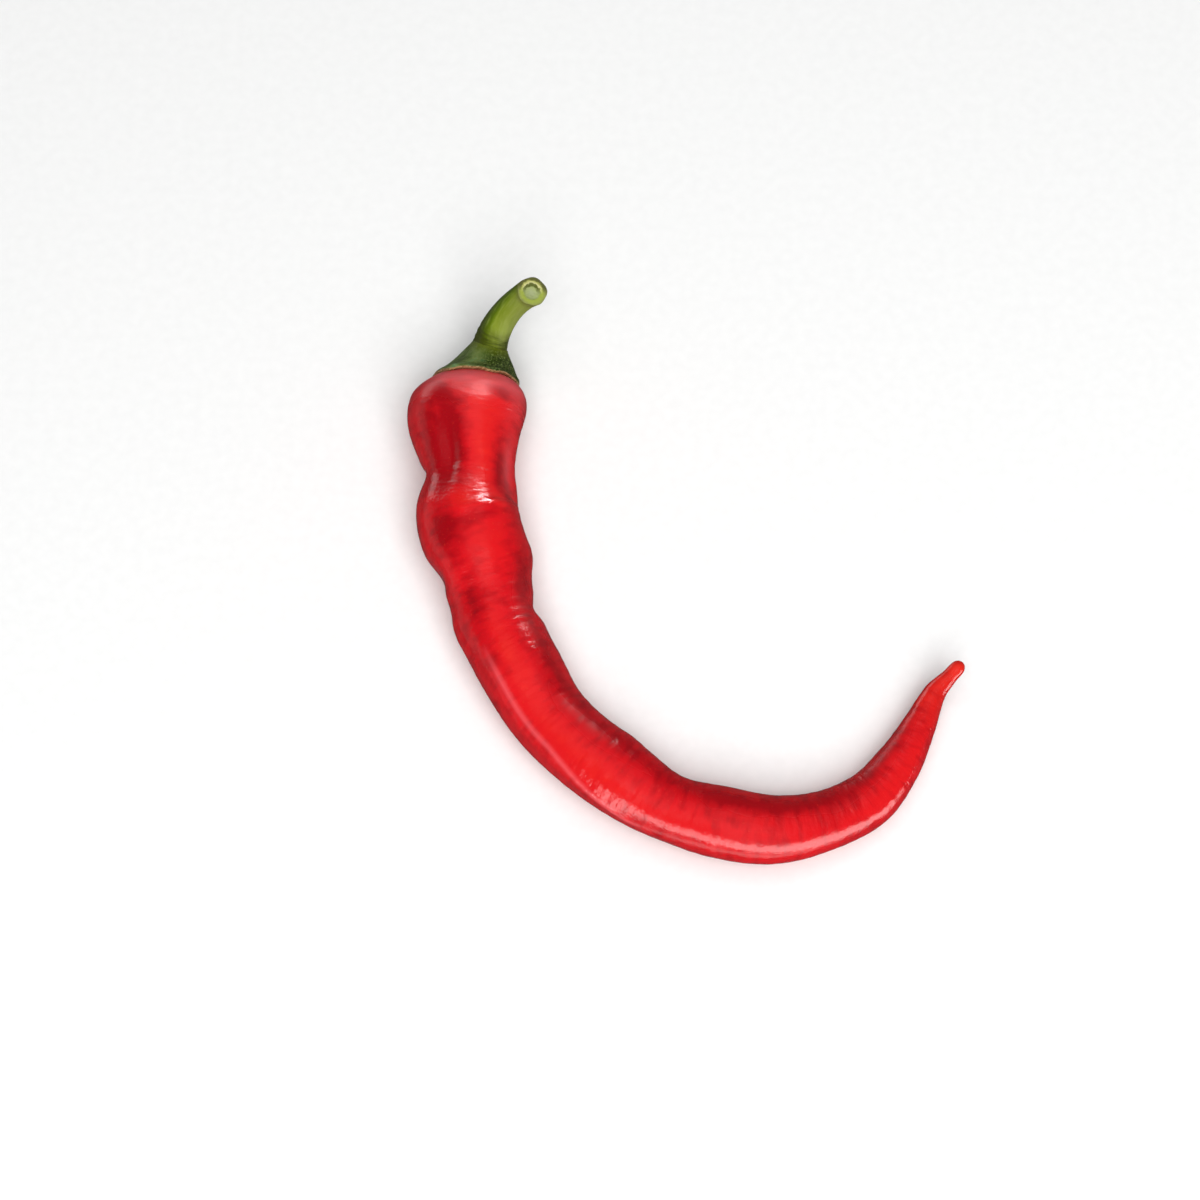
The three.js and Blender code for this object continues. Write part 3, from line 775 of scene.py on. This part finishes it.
def fibrous_stalk():
    """The stem's rind: smooth, slightly waxy green fibre, paler and yellower on its inner side,
    with dark rings where it wrinkles at its foot."""
    material, tree, out = start_material("fibrous_stalk")
    note = add_node(tree, "ShaderNodeAttribute", attribute_name="straightened").outputs["Vector"]
    place = add_node(tree, "ShaderNodeSeparateXYZ", {"Vector": note})
    down = add_node(tree, "ShaderNodeMapping", {"Vector": note, "Scale": (1.0, 1.0, 0.18)})
    # Fibres along the stem, 0.5 mm apart, and longer patches of olive, 2 mm across.
    fibres = add_node(tree, "ShaderNodeTexNoise", {
        "Vector": down.outputs["Vector"], "Scale": 2000.0, "Detail": 3.0})
    patches = add_node(tree, "ShaderNodeTexNoise", {
        "Vector": down.outputs["Vector"], "Scale": 520.0, "Detail": 3.0})
    side = add_node(tree, "ShaderNodeMath", {
        0: patches.outputs["Fac"], 1: -4.0 * MM, 2: place.outputs["X"]}, operation="MULTIPLY_ADD")
    round_stem = add_node(tree, "ShaderNodeMapRange", {
        "Value": side.outputs["Value"], "From Min": 0.6 * MM, "From Max": -4.6 * MM})
    green = add_node(tree, "ShaderNodeValToRGB", {"Fac": round_stem.outputs["Result"]}, stops=[
        (0.00, colour("#48580a")), (0.38, colour("#4f6404")), (0.54, colour("#667b0c")),
        (0.72, colour("#7d8d22")), (1.00, colour("#8b9840"))])
    streak = add_node(tree, "ShaderNodeMapRange", {
        "Value": fibres.outputs["Fac"], "From Min": 0.48, "From Max": 0.72, "To Max": 0.35})
    streaked = add_node(tree, "ShaderNodeMix", {
        0: streak.outputs["Result"], 6: green.outputs["Color"],
        7: colour("#97a24e")}, data_type="RGBA")
    # The foot is darker, and ringed by wrinkles 0.7 mm apart.
    ringed = add_node(tree, "ShaderNodeMapping", {"Vector": note, "Scale": (0.2, 0.2, 1.0)})
    rings = add_node(tree, "ShaderNodeTexNoise", {
        "Vector": ringed.outputs["Vector"], "Scale": 1500.0, "Detail": 2.0})
    foot = add_node(tree, "ShaderNodeMapRange", {
        "Value": place.outputs["Z"], "From Min": 9.6 * MM, "From Max": 12.8 * MM,
        "To Min": 1.7, "To Max": 0.0})
    footed = add_node(tree, "ShaderNodeMath", {
        0: foot.outputs["Result"], 1: rings.outputs["Fac"]}, operation="MULTIPLY", use_clamp=True)
    darkened = add_node(tree, "ShaderNodeMix", {
        0: footed.outputs["Value"], 6: streaked.outputs[2], 7: colour("#3e460c")}, data_type="RGBA")
    # It dries to brown-green over the last two millimetres below the cut.
    dry = add_node(tree, "ShaderNodeMapRange", {
        "Value": place.outputs["Z"], "From Min": (GREEN_LENGTH - 3.4) * MM,
        "From Max": (GREEN_LENGTH - 1.6) * MM, "To Max": 0.7})
    dried = add_node(tree, "ShaderNodeMix", {
        0: dry.outputs["Result"], 6: darkened.outputs[2], 7: colour("#6b6c34")}, data_type="RGBA")
    height = add_node(tree, "ShaderNodeBump", {
        "Height": fibres.outputs["Fac"], "Strength": 1.0, "Distance": 0.07 * MM})
    shader = add_node(tree, "ShaderNodeBsdfPrincipled", {
        "Base Color": dried.outputs[2], "Roughness": 0.5, "Specular IOR Level": 0.12,
        "Normal": height.outputs["Normal"]})
    tree.links.new(shader.outputs["BSDF"], out.inputs["Surface"])
    return material


def cut_stalk(cut_middle):
    """The fresh cut: moist, pale wood fibre in a ring round a spongy, sunk pith, inside a dark,
    dried rind, with a dark arc of painted shadow round the pith on its upper side."""
    material, tree, out = start_material("cut_stalk")
    place = add_node(tree, "ShaderNodeTexCoord").outputs["Object"]
    centred = add_node(tree, "ShaderNodeMapping", {"Vector": place, "Location": -cut_middle})
    distance = add_node(tree, "ShaderNodeVectorMath", {
        0: centred.outputs["Vector"]}, operation="LENGTH")
    sponge = add_node(tree, "ShaderNodeTexNoise", {"Vector": place, "Scale": 2000.0, "Detail": 3.0})
    # The rings waver by the sponge's grain, 0.5 mm across.
    wobble = add_node(tree, "ShaderNodeMapRange", {
        "Value": sponge.outputs["Fac"], "To Min": -0.35 * MM, "To Max": 0.35 * MM})
    from_middle = add_node(tree, "ShaderNodeMath", {
        0: distance.outputs["Value"], 1: wobble.outputs["Result"]}, operation="ADD")
    share = add_node(tree, "ShaderNodeMapRange", {
        "Value": from_middle.outputs["Value"], "From Max": CUT_RADIUS * MM})
    fresh = add_node(tree, "ShaderNodeValToRGB", {"Fac": share.outputs["Result"]}, stops=[
        (0.00, colour("#a4ab84")), (0.46, colour("#a2ad72")), (0.60, colour("#9aa845")),
        (0.74, colour("#98a446")), (0.86, colour("#8d9450")), (0.97, colour("#7c7f48"))])
    # Painted shadow: on the upper side, a dark arc at the edge of the sunk pith, then a cream ring
    # and a darker rind.
    shadowed_rings = add_node(tree, "ShaderNodeValToRGB", {"Fac": share.outputs["Result"]}, stops=[
        (0.00, colour("#a4ab84")), (0.36, colour("#97a162")), (0.44, colour("#4a5010")),
        (0.54, colour("#565c18")), (0.60, colour("#cdca8c")), (0.68, colour("#a7a858")),
        (0.76, colour("#5f6030")), (0.97, colour("#4c4d26"))])
    parts = add_node(tree, "ShaderNodeSeparateXYZ", {"Vector": centred.outputs["Vector"]})
    upper = add_node(tree, "ShaderNodeMapRange", {
        "Value": parts.outputs["Y"], "From Min": -0.4 * MM, "From Max": 0.9 * MM})
    rings = add_node(tree, "ShaderNodeMix", {
        0: upper.outputs["Result"], 6: fresh.outputs["Color"],
        7: shadowed_rings.outputs["Color"]}, data_type="RGBA")
    height = add_node(tree, "ShaderNodeBump", {
        "Height": sponge.outputs["Fac"], "Strength": 1.0, "Distance": 0.15 * MM})
    shader = add_node(tree, "ShaderNodeBsdfPrincipled", {
        "Base Color": rings.outputs[2], "Roughness": 0.55, "IOR": 1.36,
        "Normal": height.outputs["Normal"]})
    tree.links.new(shader.outputs["BSDF"], out.inputs["Surface"])
    return material


def matt_board():
    """The surface it lies on: white, uncoated board, matt and almost even."""
    material, tree, out = start_material("matt_board")
    place = add_node(tree, "ShaderNodeTexCoord").outputs["Object"]
    # Paper fibre, drawn 2 mm across so that it shows at all.
    fibre = add_node(tree, "ShaderNodeTexNoise", {"Vector": place, "Scale": 500.0, "Detail": 3.0})
    tone = add_node(tree, "ShaderNodeValToRGB", {"Fac": fibre.outputs["Fac"]}, stops=[
        (0.3, colour("#f4f4f3")), (0.7, colour("#f7f7f6"))])
    shader = add_node(tree, "ShaderNodeBsdfPrincipled", {
        "Base Color": tone.outputs["Color"], "Roughness": 0.9, "Specular IOR Level": 0.1})
    tree.links.new(shader.outputs["BSDF"], out.inputs["Surface"])
    return material


# Floor, light and camera

def soft_box(name, azimuth, elevation, distance, width, height, brightness,
             tilt=0, is_card=False, faces=None, beam=180):
    """A flat soft light that faces the chilli. Azimuth 0 is the camera's side and 90 is +X, tilt
    raises its left end, and beam is the angle that its grid lets through. A card shows in the
    gloss alone, and the others light all but it."""
    a, e = math.radians(azimuth), math.radians(elevation)
    way = Vector((math.sin(a) * math.cos(e), -math.cos(a) * math.cos(e), math.sin(e)))
    light = bpy.data.lights.new(name, "AREA")
    light.shape, light.size, light.size_y = "RECTANGLE", width, height
    light.energy = brightness * math.pi * width * height
    if beam < 180:
        half = math.radians(beam / 2)
        light.spread = math.radians(beam)
        light.energy *= 1 - half / math.tan(half)  # keeps the brightness that it was given
    box = bpy.data.objects.new(name, light)
    box.location = (faces or AIM) + way * distance
    facing = (-way).to_track_quat("-Z", "Y").to_matrix()
    box.rotation_euler = (Matrix.Rotation(-math.radians(tilt), 3, way) @ facing).to_euler()
    box.visible_camera = False
    box.visible_glossy, box.visible_diffuse = is_card, not is_card
    bpy.context.scene.collection.objects.link(box)


AIM = Vector((-0.0155, -0.0010, 0.0))
BULGE = Vector((-0.0365, 0.0120, 0.0185))
CARD_DISTANCE = 0.9
LENS, SENSOR, NEAREST_SEEN = 100, 36, 0.01
CAMERA_ELEVATION, CAMERA_DISTANCE = 70, 0.6267
FLOOR_SIZE = 6.0


def set_floor():
    """The pale floor. It stays out of the gloss, as the pod's gloss shows the cards alone."""
    bpy.ops.object.select_all(action="DESELECT")
    bpy.ops.mesh.primitive_plane_add(size=FLOOR_SIZE)
    floor = bpy.context.object
    floor.name = floor.data.name = "floor"
    floor.data.materials.append(matt_board())
    floor.visible_glossy = False


def set_lights():
    """Soft light from the front and the top, cards for the gloss, and a dim studio round them.
    The key card gives the highlight on the second bulge, the window cards the bands along the
    outer side, and the others the pale edges."""
    soft_box("main_light", 12, 56, 1.2, 0.9, 0.9, 5.0)
    soft_box("top_light", 0, 88, 1.3, 1.2, 1.2, 1.9)
    soft_box("key_card", 160, 33, 0.06, 0.055, 0.014, 54.0, is_card=True, faces=BULGE, beam=40)
    soft_box("window_card", 30, 7, CARD_DISTANCE, 1.7, 0.48, 6.2, tilt=16, is_card=True)
    soft_box("side_window_card", -26, 20, CARD_DISTANCE, 0.38, 0.38, 5.4, is_card=True)
    soft_box("table_card", 5, -17, CARD_DISTANCE, 1.3, 0.3, 1.8, is_card=True)
    soft_box("back_card", -138, 8, CARD_DISTANCE, 0.7, 0.4, 2.2, is_card=True)
    soft_box("left_card", -85, 2, CARD_DISTANCE, 0.9, 0.5, 0.35, is_card=True)

    world = bpy.data.worlds.new("dim_studio")
    world.use_nodes = True
    world.node_tree.nodes.clear()
    backdrop = add_node(world.node_tree, "ShaderNodeBackground", {
        "Color": colour("#c9ccd0"), "Strength": 0.14})
    surround = add_node(world.node_tree, "ShaderNodeOutputWorld")
    world.node_tree.links.new(backdrop.outputs["Background"], surround.inputs["Surface"])
    bpy.context.scene.world = world


def set_camera():
    """The camera, which looks down at the photo's angle."""
    e = math.radians(CAMERA_ELEVATION)
    camera = bpy.data.objects.new("camera", bpy.data.cameras.new("camera"))
    camera.data.lens, camera.data.sensor_width = LENS, SENSOR
    camera.data.clip_start = NEAREST_SEEN
    camera.location = AIM + Vector((0, -math.cos(e), math.sin(e))) * CAMERA_DISTANCE
    camera.rotation_euler = (AIM - camera.location).to_track_quat("-Z", "Y").to_euler()
    bpy.context.scene.collection.objects.link(camera)
    bpy.context.scene.camera = camera
    bpy.context.scene.view_settings.view_transform = "Standard"


# Assembly

pod = make_pod()
pod.data.materials.append(waxy_chilli_skin())
calyx = make_calyx(pod)
calyx.data.materials.append(leathery_calyx())
stem = make_stem()

for piece, node, slot in (
        (pod, "pod", "pod_skin"), (calyx, "calyx", "calyx"), (stem, "stem", "stem")):
    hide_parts(node)
    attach(piece, "root")

set_floor()
set_lights()
set_camera()
